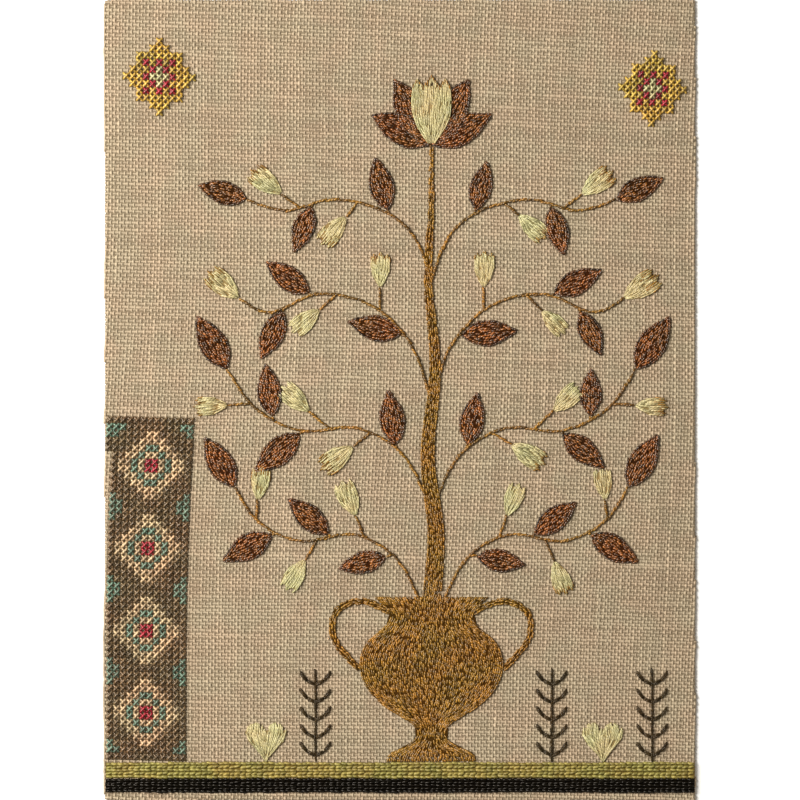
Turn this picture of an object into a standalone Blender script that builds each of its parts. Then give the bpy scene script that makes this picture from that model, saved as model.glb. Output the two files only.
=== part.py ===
"""Cut length of plain-woven linen, embroidered with a flowering urn, lying flat and face up.

The cloth is one piece, so it is one solid. Where thread covers the linen, the face stands a little
proud, with a rounded edge: urn, stems, leaves, buds, hearts, sprigs, stars, the lozenge border and the
two bands of the ground line.

Frame: metres, +Z up, with the origin on the resting plane under the middle of the cloth. +X runs to
the right of the design and +Y to its top.
"""

import math
import random
from collections import namedtuple

import bmesh
import bpy

MM = 0.001

# Cloth
CLOTH_WIDTH = 150.0 * MM
CLOTH_LENGTH = 203.4 * MM
CLOTH_THICKNESS = 1.0 * MM

# Heights of the stitched relief, above the resting plane
RELIEF_ROOT = 0.92 * MM
STEM_TOP = 1.32 * MM
BORDER_TOP = 1.38 * MM
BAND_TOP = 1.42 * MM
URN_TOP = 1.46 * MM
LEAF_TOP = 1.50 * MM
BUD_TOP = 1.54 * MM
ROOT_STEP = 0.0004 * MM

# Threads of a hand-woven linen lean a little from the upright and from the level
WARP_LEAN = 0.025
WEFT_DROP = -0.030

# Ground line: a green band over a dark band, right across the cloth
GROUND_Y = -92.0 * MM
GREEN_BAND_HEIGHT = 4.1 * MM
DARK_BAND_HEIGHT = 3.6 * MM
BAND_EDGE = 0.35 * MM

# Lozenge border, cut by the left edge of the cloth and standing on the ground line
BORDER_RIGHT_X = -54.6 * MM
BORDER_HEIGHT = 87.0 * MM

# Stars
STAR_CENTRES = ((-61.0 * MM, 82.5 * MM), (64.0 * MM, 79.0 * MM))
STAR_RADIUS = 9.2 * MM
STAR_NOTCH = 0.56

# Hearts and sprigs that stand on the ground line, by their distance from the plant's axis
HEARTS_X = (-42.0 * MM, 43.5 * MM)
HEART_WIDTH = 11.2 * MM
HEART_POINTS = 14
SPRIGS_X = (-29.5 * MM, 30.5 * MM, 56.0 * MM)
SPRIG_HEIGHT = 24.0 * MM
SPRIG_STEM = 0.8 * MM
SPRIG_TIERS = 5
SPRIG_FIRST_TIER = 1.5 * MM
SPRIG_TIER_STEP = 4.5 * MM
SPRIG_ARM_REACH = 3.9 * MM
SPRIG_ARM_RISE = 3.4 * MM
SPRIG_ARM = 0.65 * MM

# The plant's axis, and the urn's profile: height above the ground line, and half width
PLANT_X = 8.0 * MM
Profile = namedtuple("Profile", "height half")
URN_PROFILE = (
    Profile(0.0, 11.6),
    Profile(2.2, 11.0),
    Profile(4.2, 6.2),
    Profile(7.0, 3.6),
    Profile(10.0, 5.4),
    Profile(14.0, 12.0),
    Profile(19.0, 16.8),
    Profile(25.0, 18.6),
    Profile(30.5, 16.6),
    Profile(34.0, 12.4),
    Profile(37.0, 10.6),
    Profile(40.0, 12.6),
    Profile(42.0, 14.8),
)
HANDLE = ((10.2, 38.0), (18.0, 41.0), (24.5, 38.0), (24.8, 31.5), (21.5, 27.0), (18.0, 23.5))
HANDLE_WIDTH = 2.1

# Stems, in millimetres from the plant's axis and from the middle of the cloth. Each branch is worked
# on both sides
MAIN_STEM = ((0.0, -51.0), (1.2, -34.0), (-1.0, -14.0), (1.0, 8.0), (-0.8, 30.0), (0.0, 50.0), (0.0, 65.0))
MAIN_STEM_ROOT = 5.2
MAIN_STEM_TIP = 1.2
BRANCHES = {
    "low": ((3.0, -51.0), (9.0, -40.0), (20.0, -34.0), (33.0, -36.0), (44.0, -31.0), (50.0, -22.0)),
    "middle": ((0.5, -27.0), (7.0, -14.0), (19.0, -7.0), (33.0, -8.0), (45.0, -2.0), (52.0, 8.0)),
    "upper": ((0.5, 1.0), (5.0, 14.0), (15.0, 24.0), (29.0, 27.0), (41.0, 22.0), (49.0, 26.0)),
    "top": ((0.0, 30.0), (4.0, 41.0), (12.0, 48.0), (25.0, 51.0), (37.0, 48.0), (47.0, 51.0)),
}
BRANCH_WIDTH = 0.9
TWIG_WIDTH = 0.7

# What grows from a branch: where along it, on which side (1 is left of its run), what it is, the length
# of its own twig, how far it opens from the branch in degrees, and its length
Spray = namedtuple("Spray", "at side kind twig spread length")
SPRAYS = {
    "low": (
        Spray(0.22, -1, "leaf", 2.0, 48, 13.0),
        Spray(0.36, 1, "bud", 6.0, 50, 9.5),
        Spray(0.50, 1, "leaf", 1.0, 52, 13.5),
        Spray(0.56, -1, "bud", 6.0, 55, 9.0),
        Spray(0.74, -1, "leaf", 1.0, 50, 14.0),
        Spray(0.84, 1, "bud", 5.0, 52, 9.0),
        Spray(1.00, 0, "leaf", 0.0, 0, 14.5),
    ),
    "middle": (
        Spray(0.25, 1, "leaf", 1.0, 42, 14.0),
        Spray(0.36, -1, "bud", 6.0, 52, 9.5),
        Spray(0.52, 1, "bud", 7.0, 52, 9.5),
        Spray(0.62, -1, "leaf", 1.0, 50, 14.5),
        Spray(0.74, 1, "leaf", 1.0, 58, 12.5),
        Spray(0.84, -1, "bud", 6.0, 48, 9.0),
        Spray(1.00, 0, "leaf", 0.0, 0, 15.0),
    ),
    "upper": (
        Spray(0.26, -1, "leaf", 1.0, 46, 14.0),
        Spray(0.40, 1, "bud", 6.0, 52, 9.5),
        Spray(0.58, -1, "bud", 6.0, 55, 9.0),
        Spray(0.68, 1, "leaf", 1.0, 50, 14.0),
        Spray(0.80, -1, "leaf", 1.0, 42, 12.5),
        Spray(1.00, 0, "bud", 0.0, 0, 10.5),
    ),
    "top": (
        Spray(0.36, 1, "leaf", 1.0, 46, 13.0),
        Spray(0.50, -1, "bud", 5.0, 58, 9.0),
        Spray(0.70, -1, "leaf", 1.0, 52, 12.5),
        Spray(0.76, 1, "bud", 6.0, 50, 9.5),
        Spray(1.00, 0, "leaf", 0.0, 0, 13.5),
    ),
}
LEAF_WIDTH = 0.47
BUD_WIDTH = 0.62

# One edge of a bud, from its foot to the notch beside its middle point, in shares of its length and of
# its half width
BUD_OUTLINE = (
    (0.02, 0.16),
    (0.14, 0.54),
    (0.38, 0.92),
    (0.64, 1.0),
    (0.82, 0.92),
    (0.95, 0.69),
    (0.85, 0.38),
)

# The flower at the top of the main stem: each petal's lean from the upright in degrees, its kind and
# its length
Petal = namedtuple("Petal", "lean kind length")
CROWN = (
    Petal(-64, "leaf", 17.0),
    Petal(64, "leaf", 17.0),
    Petal(-30, "leaf", 19.0),
    Petal(30, "leaf", 19.0),
    Petal(0, "bud", 17.5),
)

# Hand work is never quite even: leaves and buds turn and grow by up to this much
HAND_SEED = 7
HAND_TURN = 6.0
HAND_GROWTH = 0.07

LINEN_COLOUR = (0.60, 0.46, 0.34, 1.0)
LINEN_ROUGHNESS = 0.92


def scaled(points):
    """Points in millimetres from the plant's axis, as metres in the cloth's frame."""
    return [(PLANT_X + x * MM, y * MM) for x, y in points]


def blend(a, b, c, d, t):
    """The value at t between b and c on a smooth curve that also heeds a and d."""
    square, cube = 2 * a - 5 * b + 4 * c - d, 3 * b - a - 3 * c + d
    return 0.5 * (2 * b + (c - a) * t + square * t**2 + cube * t**3)


def smooth_path(points, steps):
    """A smooth curve through the points, with this many steps between each two."""
    path = []
    for i in range(len(points) - 1):
        before = points[max(i - 1, 0)]
        after = points[min(i + 2, len(points) - 1)]
        for k in range(steps):
            t = k / steps
            quad = zip(before, points[i], points[i + 1], after)
            path.append(tuple(blend(*values, t) for values in quad))
    path.append(points[-1])
    return path


def point_along(path, share):
    """The point at this share of the path's length, and the path's direction there."""
    runs = [math.dist(a, b) for a, b in zip(path, path[1:])]
    left = share * sum(runs)
    for a, b, run in zip(path, path[1:], runs):
        if left <= run or b is path[-1]:
            t = min(left / run, 1.0)
            spot = (a[0] + (b[0] - a[0]) * t, a[1] + (b[1] - a[1]) * t)
            return spot, math.atan2(b[1] - a[1], b[0] - a[0])
        left -= run


def placed(local, spot, turn):
    """Local points, turned and moved to a spot."""
    c, s = math.cos(turn), math.sin(turn)
    return [(spot[0] + x * c - y * s, spot[1] + x * s + y * c) for x, y in local]


def leaf_outline(length, width, inset):
    """A pointed leaf from its foot at the origin to its tip at +X, drawn in by the share inset."""
    stations = 6
    low, high = inset * 0.35, 1 - inset * 0.35
    shares = [low + (high - low) * i / stations for i in range(stations + 1)]
    half = 0.5 * width * (1 - inset)
    upper = [(length * t, half * math.sin(math.pi * t**0.85) ** 0.9) for t in shares[1:-1]]
    lower = [(x, -y) for x, y in reversed(upper)]
    return [(length * low, 0.0), *upper, (length * high, 0.0), *lower]


def bud_outline(length, width, inset):
    """A bud from its foot at the origin to its three points, drawn in by the share inset."""
    half = 0.5 * width
    edge = [*BUD_OUTLINE, (1.0, 0.0), *((x, -y) for x, y in reversed(BUD_OUTLINE))]
    middle = 0.55
    keep = 1 - inset
    return [((middle + (x - middle) * keep) * length, y * half * keep) for x, y in edge]


def heart_outline(width, inset):
    """A heart with its point at the origin."""
    lobe, top = 16.0, 17.0
    middle = 11.0
    points = []
    for i in range(HEART_POINTS):
        t = 2 * math.pi * (i + 0.5) / HEART_POINTS
        x = lobe * math.sin(t) ** 3
        y = 13 * math.cos(t) - 5 * math.cos(2 * t) - 2 * math.cos(3 * t) - math.cos(4 * t) + top
        points.append((x * (1 - inset), middle + (y - middle) * (1 - inset)))
    return [(x * width / (2 * lobe), y * width / (2 * lobe)) for x, y in reversed(points)]


def star_outline(radius, inset):
    """A star with eight points."""
    return [
        (
            radius * (1 - inset) * (1 if i % 2 == 0 else STAR_NOTCH) * math.cos(math.pi * i / 8),
            radius * (1 - inset) * (1 if i % 2 == 0 else STAR_NOTCH) * math.sin(math.pi * i / 8),
        )
        for i in range(16)
    ]


def ribbon_outline(path, widths, inset):
    """The edge of a ribbon that follows a path, as wide as widths says at each of its points."""
    left, right = [], []
    for i, (x, y) in enumerate(path):
        a, b = path[max(i - 1, 0)], path[min(i + 1, len(path) - 1)]
        turn = math.atan2(b[1] - a[1], b[0] - a[0])
        reach = 0.5 * widths[i] * (1 - inset)
        left.append((x - reach * math.sin(turn), y + reach * math.cos(turn)))
        right.append((x + reach * math.sin(turn), y - reach * math.cos(turn)))
    return [*right, *reversed(left)]


class Relief:
    """Raised shapes with sloping edges, gathered in one mesh to be joined with the cloth."""

    def __init__(self):
        self.mesh = bmesh.new()
        self.count = 0

    def raise_shape(self, foot, crown, top):
        """A closed body from the outline foot, inside the cloth, to the outline crown at the height top."""
        root = RELIEF_ROOT - ROOT_STEP * self.count
        self.count += 1
        low = [self.mesh.verts.new((x, y, root)) for x, y in foot]
        high = [self.mesh.verts.new((x, y, top + ROOT_STEP * self.count)) for x, y in crown]
        self.mesh.faces.new(list(reversed(low)))
        self.mesh.faces.new(high)
        for i in range(len(low)):
            j = (i + 1) % len(low)
            self.mesh.faces.new((low[i], low[j], high[j], high[i]))

    def ribbon(self, path, widths, top):
        self.raise_shape(ribbon_outline(path, widths, 0.0), ribbon_outline(path, widths, 0.55), top)

    def leaf(self, spot, turn, length):
        width = LEAF_WIDTH * length
        foot = placed(leaf_outline(length, width, 0.0), spot, turn)
        self.raise_shape(foot, placed(leaf_outline(length, width, 0.35), spot, turn), LEAF_TOP)

    def bud(self, spot, turn, length):
        width = BUD_WIDTH * length
        foot = placed(bud_outline(length, width, 0.0), spot, turn)
        self.raise_shape(foot, placed(bud_outline(length, width, 0.25), spot, turn), BUD_TOP)

    def box(self, low, high, top, lean=0.0):
        """A raised block between two corners. Its upright edges lean right by this share of its height."""
        rise = (high[1] - low[1]) * lean

        def corners(edge):
            return [
                (low[0] + edge, low[1] + edge),
                (high[0] - edge, low[1] + edge),
                (high[0] - edge + rise, high[1] - edge),
                (low[0] + edge, high[1] - edge),
            ]

        self.raise_shape(corners(0.0), corners(BAND_EDGE), top)


def work_bands(relief):
    """The two bands of the ground line. They stop short of the cut edges by their own sloping edge."""
    half = 0.5 * CLOTH_WIDTH
    seam = GROUND_Y - GREEN_BAND_HEIGHT
    relief.box((-half + BAND_EDGE, seam), (half - BAND_EDGE, GROUND_Y), BAND_TOP)
    relief.box((-half + BAND_EDGE, seam - DARK_BAND_HEIGHT), (half - BAND_EDGE, seam), BAND_TOP - 0.04 * MM)


def work_border(relief):
    """The lozenge border at the left edge."""
    low = (-0.5 * CLOTH_WIDTH + BAND_EDGE, GROUND_Y)
    relief.box(low, (BORDER_RIGHT_X, GROUND_Y + BORDER_HEIGHT), BORDER_TOP, lean=WARP_LEAN)


def work_stars(relief):
    """The two eight-pointed stars, on the slope of the weave."""
    slope = math.atan(WEFT_DROP)
    for centre in STAR_CENTRES:
        foot = placed(star_outline(STAR_RADIUS, 0.0), centre, slope)
        relief.raise_shape(foot, placed(star_outline(STAR_RADIUS, 0.2), centre, slope), BORDER_TOP)


def work_hearts(relief):
    """The satin hearts that stand on the ground line."""
    for x in HEARTS_X:
        spot = (PLANT_X + x, GROUND_Y)
        foot = placed(heart_outline(HEART_WIDTH, 0.0), spot, 0.0)
        relief.raise_shape(foot, placed(heart_outline(HEART_WIDTH, 0.25), spot, 0.0), BUD_TOP)


def work_sprigs(relief):
    """The dark sprigs, each an upright with pairs of arms."""
    for x in SPRIGS_X:
        foot = (PLANT_X + x, GROUND_Y)
        relief.ribbon([foot, (foot[0], foot[1] + SPRIG_HEIGHT)], (SPRIG_STEM, SPRIG_STEM), STEM_TOP)
        for tier in range(SPRIG_TIERS):
            start = (foot[0], foot[1] + SPRIG_FIRST_TIER + tier * SPRIG_TIER_STEP)
            for side in (-1, 1):
                end = (start[0] + side * SPRIG_ARM_REACH, start[1] + SPRIG_ARM_RISE)
                relief.ribbon([start, end], (SPRIG_ARM, SPRIG_ARM), STEM_TOP)


def work_urn(relief):
    """The footed urn with its two handles."""

    def outline(inset):
        middle, keep = 21, 1 - 0.2 * inset
        right = [
            (PLANT_X + p.half * MM * (1 - inset), GROUND_Y + (middle + (p.height - middle) * keep) * MM)
            for p in URN_PROFILE
        ]
        return [*right, *((2 * PLANT_X - x, y) for x, y in reversed(right))]

    relief.raise_shape(outline(0.0), outline(0.16), URN_TOP)
    for side in (1, -1):
        path = [(PLANT_X + side * x * MM, GROUND_Y + y * MM) for x, y in smooth_path(HANDLE, 3)]
        relief.ribbon(path, [HANDLE_WIDTH * MM] * len(path), STEM_TOP)


def work_plant(relief):
    """The main stem, its crown of petals, and the branches with their leaves and buds on both sides."""
    hand = random.Random(HAND_SEED)
    stem = scaled(smooth_path(MAIN_STEM, 3))
    taper = (MAIN_STEM_TIP - MAIN_STEM_ROOT) / (len(stem) - 1)
    relief.ribbon(stem, [(MAIN_STEM_ROOT + taper * i) * MM for i in range(len(stem))], URN_TOP)
    for petal in CROWN:
        grow = relief.leaf if petal.kind == "leaf" else relief.bud
        grow(stem[-1], math.radians(90 - petal.lean), petal.length * MM)
    for side in (1, -1):
        for name, points in BRANCHES.items():
            path = scaled([(side * x, y) for x, y in smooth_path(points, 3)])
            relief.ribbon(path, [BRANCH_WIDTH * MM] * len(path), STEM_TOP)
            for spray in SPRAYS[name]:
                spot, turn = point_along(path, spray.at)
                turn += side * spray.side * math.radians(spray.spread)
                turn += math.radians(hand.uniform(-HAND_TURN, HAND_TURN))
                length = spray.length * MM * (1 + hand.uniform(-HAND_GROWTH, HAND_GROWTH))
                if spray.twig:
                    end = placed([(spray.twig * MM, 0.0)], spot, turn)[0]
                    relief.ribbon([spot, end], [TWIG_WIDTH * MM] * 2, STEM_TOP)
                    spot = end
                grow = relief.leaf if spray.kind == "leaf" else relief.bud
                grow(spot, turn, length)


def linen_material():
    material = bpy.data.materials.new("linen")
    material.use_nodes = True
    shader = material.node_tree.nodes["Principled BSDF"]
    shader.inputs["Base Color"].default_value = LINEN_COLOUR
    shader.inputs["Roughness"].default_value = LINEN_ROUGHNESS
    shader.inputs["Metallic"].default_value = 0.0
    material.diffuse_color = LINEN_COLOUR
    return material


def new_object(name, mesh):
    data = bpy.data.meshes.new(name)
    mesh.to_mesh(data)
    mesh.free()
    made = bpy.data.objects.new(name, data)
    bpy.context.scene.collection.objects.link(made)
    return made


def cloth_slab():
    """The cloth itself, flat on the resting plane."""
    mesh = bmesh.new()
    bmesh.ops.create_cube(mesh, size=1.0)
    bmesh.ops.scale(mesh, vec=(CLOTH_WIDTH, CLOTH_LENGTH, CLOTH_THICKNESS), verts=mesh.verts)
    bmesh.ops.translate(mesh, vec=(0.0, 0.0, 0.5 * CLOTH_THICKNESS), verts=mesh.verts)
    return new_object("linen_sampler", mesh)


def build():
    for old in list(bpy.data.objects):
        bpy.data.objects.remove(old)
    relief = Relief()
    for work in (work_bands, work_border, work_stars, work_hearts, work_sprigs, work_urn, work_plant):
        work(relief)
    bmesh.ops.recalc_face_normals(relief.mesh, faces=relief.mesh.faces)
    worked = new_object("worked_relief", relief.mesh)
    worked.hide_render = True
    worked.display_type = "WIRE"
    cloth = cloth_slab()
    cloth.data.materials.append(linen_material())
    union = cloth.modifiers.new("worked areas", "BOOLEAN")
    union.operation = "UNION"
    union.solver = "EXACT"
    union.use_self = True
    union.object = worked


build()
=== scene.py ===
"""Looks of the embroidered linen sampler, laid out as an add-on and run as a script.

The linen is woven thread by thread, and every stitch is a short arch of thread on it. Lengths are in metres, in the
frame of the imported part: +X to the right of the design, +Y to its top, +Z out of the worked face.
"""

import math
import random
from collections import namedtuple

import bmesh
import bpy
import numpy as np
from bpy.props import FloatProperty, FloatVectorProperty, IntProperty, PointerProperty
from bpy.types import NodeSocket, Operator, Panel, PropertyGroup, Scene
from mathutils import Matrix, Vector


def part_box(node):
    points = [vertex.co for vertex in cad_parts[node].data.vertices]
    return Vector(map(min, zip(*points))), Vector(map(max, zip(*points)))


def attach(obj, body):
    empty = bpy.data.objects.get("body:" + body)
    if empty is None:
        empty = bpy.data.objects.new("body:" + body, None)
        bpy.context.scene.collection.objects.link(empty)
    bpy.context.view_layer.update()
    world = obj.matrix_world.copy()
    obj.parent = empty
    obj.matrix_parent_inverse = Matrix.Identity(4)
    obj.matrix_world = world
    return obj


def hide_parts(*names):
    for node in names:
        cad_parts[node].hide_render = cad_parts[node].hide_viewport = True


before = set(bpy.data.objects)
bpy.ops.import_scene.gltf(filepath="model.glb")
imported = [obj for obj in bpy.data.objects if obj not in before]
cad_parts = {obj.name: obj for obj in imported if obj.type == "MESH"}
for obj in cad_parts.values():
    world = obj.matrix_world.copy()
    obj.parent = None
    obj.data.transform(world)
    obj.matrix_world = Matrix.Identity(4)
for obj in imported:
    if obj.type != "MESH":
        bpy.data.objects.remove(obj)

bl_info = {
    "name": "Embroidered Linen Sampler",
    "version": (1, 0, 0),
    "blender": (4, 5, 0),
    "location": "3D View > Sidebar > Sampler",
    "description": "Weaves a length of linen and works a flowering urn on it in coloured threads",
    "category": "Object",
}

MM = 0.001
CAD_NODE = "linen_sampler"
CAD_LOW, CAD_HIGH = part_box(CAD_NODE)
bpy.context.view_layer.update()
CLOTH_WIDTH = CAD_HIGH.x - CAD_LOW.x
CLOTH_LENGTH = CAD_HIGH.y - CAD_LOW.y
HALF_CUT = (0.5 * CLOTH_WIDTH, 0.5 * CLOTH_LENGTH)

# The design, as in the solids

# Ground line
GROUND_Y = -92.0 * MM
GREEN_BAND_HEIGHT = 4.1 * MM
DARK_BAND_HEIGHT = 3.6 * MM

# Lozenge border, in cross stitches
BORDER_RIGHT_X = -54.6 * MM
BORDER_ROWS = 50
BORDER_COLUMNS = 12
LOZENGE_ROWS = 12

# Stars
STAR_CENTRES = ((-61.0 * MM, 82.5 * MM), (64.0 * MM, 79.0 * MM))
STAR_REACH = 5
STAR_SQUARE = 3

# Hearts and sprigs, by their distance from the plant's axis
HEARTS_X = (-42.0 * MM, 43.5 * MM)
HEART_WIDTH = 11.2 * MM
SPRIGS_X = (-29.5 * MM, 30.5 * MM, 56.0 * MM)
SPRIG_HEIGHT = 24.0 * MM
SPRIG_TIERS = 5
SPRIG_FIRST_TIER = 1.5 * MM
SPRIG_TIER_STEP = 4.5 * MM
SPRIG_ARM_REACH = 3.9 * MM
SPRIG_ARM_RISE = 3.4 * MM
SPRIG_SPREAD = 0.12 * MM
SPRIG_APART = 0.16 * MM
SPRIG_ARM = ((0.0, 0.06), (0.55, 0.36), (1.0, 1.0))

# The plant's axis, and the urn's profile: height above the ground line, and half width, in millimetres
PLANT_X = 8.0 * MM
URN_PROFILE = (
    (0, 11.6), (2.2, 11), (4.2, 6.2), (7, 3.6), (10, 5.4), (14, 12), (19, 16.8),
    (25, 18.6), (30.5, 16.6), (34, 12.4), (37, 10.6), (40, 12.6), (42, 14.8),
)
HANDLE = ((10.2, 38), (18, 41), (24.5, 38), (24.8, 31.5), (21.5, 27), (18, 23.5))
HANDLE_WIDTH = 2.1 * MM

# Stems, in millimetres from the plant's axis and from the middle of the cloth. Each branch is worked on both sides
MAIN_STEM = ((0, -51), (1.2, -34), (-1, -14), (1, 8), (-0.8, 30), (0, 50), (0, 65))
MAIN_STEM_ROOT = 5.2 * MM
MAIN_STEM_TIP = 1.2 * MM
BRANCHES = {
    "low": ((3, -51), (9, -40), (20, -34), (33, -36), (44, -31), (50, -22)),
    "middle": ((0.5, -27), (7, -14), (19, -7), (33, -8), (45, -2), (52, 8)),
    "upper": ((0.5, 1), (5, 14), (15, 24), (29, 27), (41, 22), (49, 26)),
    "top": ((0, 30), (4, 41), (12, 48), (25, 51), (37, 48), (47, 51)),
}

# What grows from a branch: where along it, on which side (1 is left of its run), what it is, the length of its own
# twig, how far it opens from the branch in degrees, and its length
Spray = namedtuple("Spray", "at side kind twig spread length")
SPRAYS = {
    "low": (
        Spray(0.22, -1, "leaf", 2, 48, 13),
        Spray(0.36, 1, "bud", 6, 50, 9.5),
        Spray(0.50, 1, "leaf", 1, 52, 13.5),
        Spray(0.56, -1, "bud", 6, 55, 9),
        Spray(0.74, -1, "leaf", 1, 50, 14),
        Spray(0.84, 1, "bud", 5, 52, 9),
        Spray(1.00, 0, "leaf", 0, 0, 14.5),
    ),
    "middle": (
        Spray(0.25, 1, "leaf", 1, 42, 14),
        Spray(0.36, -1, "bud", 6, 52, 9.5),
        Spray(0.52, 1, "bud", 7, 52, 9.5),
        Spray(0.62, -1, "leaf", 1, 50, 14.5),
        Spray(0.74, 1, "leaf", 1, 58, 12.5),
        Spray(0.84, -1, "bud", 6, 48, 9),
        Spray(1.00, 0, "leaf", 0, 0, 15),
    ),
    "upper": (
        Spray(0.26, -1, "leaf", 1, 46, 14),
        Spray(0.40, 1, "bud", 6, 52, 9.5),
        Spray(0.58, -1, "bud", 6, 55, 9),
        Spray(0.68, 1, "leaf", 1, 50, 14),
        Spray(0.80, -1, "leaf", 1, 42, 12.5),
        Spray(1.00, 0, "bud", 0, 0, 10.5),
    ),
    "top": (
        Spray(0.36, 1, "leaf", 1, 46, 13),
        Spray(0.50, -1, "bud", 5, 58, 9),
        Spray(0.70, -1, "leaf", 1, 52, 12.5),
        Spray(0.76, 1, "bud", 6, 50, 9.5),
        Spray(1.00, 0, "leaf", 0, 0, 13.5),
    ),
}
LEAF_WIDTH = 0.47
BUD_WIDTH = 0.62

# Outlines of the satin shapes, as shares of the length from the foot and of the half width there, and their tips, as
# shares of the half width and of the length at which the shape ends there
BUD_OUTLINE = ((0, 0.16), (0.14, 0.54), (0.38, 0.92), (0.64, 1), (1, 0.84))
BUD_TIPS = ((0, 1), (0.42, 0.85), (0.8, 0.95), (1, 0.82))
HEART_HEIGHT = 0.905
HEART_OUTLINE = ((0, 0.02), (0.14, 0.16), (0.34, 0.53), (0.51, 0.85), (0.72, 1), (1, 0.95))
HEART_TIPS = ((0, 0.76), (0.12, 0.9), (0.3, 0.98), (0.5, 1), (0.83, 0.935), (1, 0.8))

# The flower at the top of the main stem: each petal's lean from the upright in degrees, its kind and its length
Petal = namedtuple("Petal", "lean kind length")
CROWN = (
    Petal(-64, "leaf", 17),
    Petal(64, "leaf", 17),
    Petal(-30, "leaf", 19),
    Petal(30, "leaf", 19),
    Petal(0, "bud", 17.5),
)

# How far the middle petal lies above the others
CROWN_BUD_RISE = 0.26 * MM

# Hand work is never quite even: leaves and buds turn and grow by up to this much, as in the solids
HAND_SEED = 7
HAND_TURN = 6.0
HAND_GROWTH = 0.07

# The slow bows of the warps and of the wefts, and the share of their drop that the wefts have at the cloth's foot
Bow = namedtuple("Bow", "depth length shift")
WARP_BOW = Bow(0.7 * MM, 150 * MM, 2.0)
WEFT_BOW = Bow(0.35 * MM, 170 * MM, 2.5)
DROP_AT_FOOT = 0.35

# The linen's threads: how they wander and swell, their tones and shortest ends, and the darker sheet between them,
# which is painted shade in the gaps
WANDER_BLUR = 24
PLACE_STRAY = 0.45
THREAD_SWELL = 0.07
SLUB_SWELL = 0.13
SLUB_BLUR = 3
WARP_TONE = 0.47
WEFT_TONE = 0.56
TONE_SPREAD = 0.15
LEAST_END = 0.15
SHADE_SHEET_THICKNESS = 0.24 * MM
SHADE_SHEET_INSET = 0.2 * MM
SHADE_SHEET_CELLS = (21, 28)
MAP_SKEW = 0.3

# Finishes: how the plies run, how warm and cool dye weighs the channels, the noises' scales, and the tones of a
# crest: painted highlight on top, painted shade below
PLY_PITCH = 0.9 * MM
PLY_DEPTH = 0.2 * MM
PLY_LEAN = 1.5
PLY_STARTS = 50.0
WARM = (1.0, -0.45, -0.9)
COOL = (-0.7, 0.1, -0.3)
DYE_SCALE = 120.0
FIBRE_SCALE = 1500.0
# ply sets how deep the twist's bump is and how strongly its painted shade and painted highlight show
LINEN = {"drift": 0.03, "spread": 0.22, "ply": 0.1, "roughness": 0.85, "ior": 1.35}
FLOSS = {"drift": 0.07, "spread": 0.35, "ply": 0.4, "roughness": 0.33, "ior": 1.6}
# The finish of the pads, whose darkened colour is painted shade between the stitches
SHADE_PAD_FINISH = {"drift": 0.1, "spread": 0.1, "ply": 0.0, "roughness": 1.0, "ior": 1.2}
PAINTED_CREST_TONES = (0.92, 1.22)
PAINTED_CREST_DEPTH = 0.20 * MM

# Any stitch: its foot and shoulders, and how far it strays
PRESS = 0.25
FOOT_WIDTH = 0.7
SHOULDER = 0.35 * MM
SHOULDER_SHARE = 0.3
HEIGHT_STRAY = 0.02 * MM
WIDTH_STRAY = 0.08
CROSS_LIFT = 0.55

# Stem stitch: how far it strays, and how high every second one lies
ROPE_STRAY = 0.1
ROPE_ASIDE = 0.06 * MM
ROPE_LIFT = 0.08 * MM
ROPE_LEAST = 0.6
ROPE_SHARE = 0.6
DENSE_SHARE = 0.75

# Filling stitches, in shares of their length, pitch or the shape's half width
FILL_STEP = 0.7
FILL_LEAST = 0.4
FILL_LENGTHS = (0.8, 1.2)
FILL_STRAY = 0.5
FILL_ASIDE = 0.6
FILL_LEAN = 0.35
FILL_LIFT = 0.12 * MM
FILL_EVEN = 0.8
FILL_STRAIGHT = 0.85

# Tones of a leaf's filling and of its outline, the pitches of fillings in grain pitches, and the buds' tips
LEAF_TONES = (0.15, 1.0)
LEAF_EDGE_TONES = (0.0, 0.35)
LEAF_EDGE = 0.45 * MM
LEAF_PITCH = 1.12
BUD_PITCH = 0.68
HEART_PITCH = 0.57
STEM_SHADE = (0.82, 0.80, 0.78)
TIP_DEPTHS = (-0.1, 0.42)
TIP_REACH = 0.94
TIP_LEAST = 0.6 * MM
TIP_LIFT = 0.14 * MM

# Pads under the filled shapes, in their thread's colour darkened: painted shade between the stitches
PAD_LIFT = 0.04 * MM
PAD_LEAST = 0.05 * MM
PAD_BULGE = 0.012 * MM
URN_PAD_BULGE = 0.003 * MM
PAD_INSET = 0.35 * MM
PAD_START = 0.05

# The ground line's bands, from the top, and their rows of stem stitch
Band = namedtuple("Band", "colour top height rows scale ior")
BANDS = (
    Band("green", GROUND_Y, GREEN_BAND_HEIGHT, 5, 1.5, 1.35),
    Band("dark", GROUND_Y - GREEN_BAND_HEIGHT, DARK_BAND_HEIGHT, 5, 1.3, 1.3),
)
BAND_STATIONS = 61
BAND_STITCH = 1.9 * MM
BAND_SLANT = 0.17 * MM
BAND_WAVE = 0.09 * MM
BAND_WAVE_LENGTH = 9 * MM

# The studio
FLOOR_SIZE = 2.0
FLOOR_DROP = 0.05 * MM
FILL_COLOUR = (1.0, 0.93, 0.82, 1.0)
KEY_COLOUR = (1.0, 0.98, 0.95)
KEY_SIZE = 0.45
KEY_PLACE = (-0.60, 0.20, 0.55)
SENSOR_WIDTH = 36.0


def number(name, description, default, unit="LENGTH"):
    return FloatProperty(name=name, description=description, default=default, unit=unit)


def tint(name, description, default):
    return FloatVectorProperty(
        name=name, description=description, subtype="COLOR", size=3, min=0.0, max=1.0, default=default
    )


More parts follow.
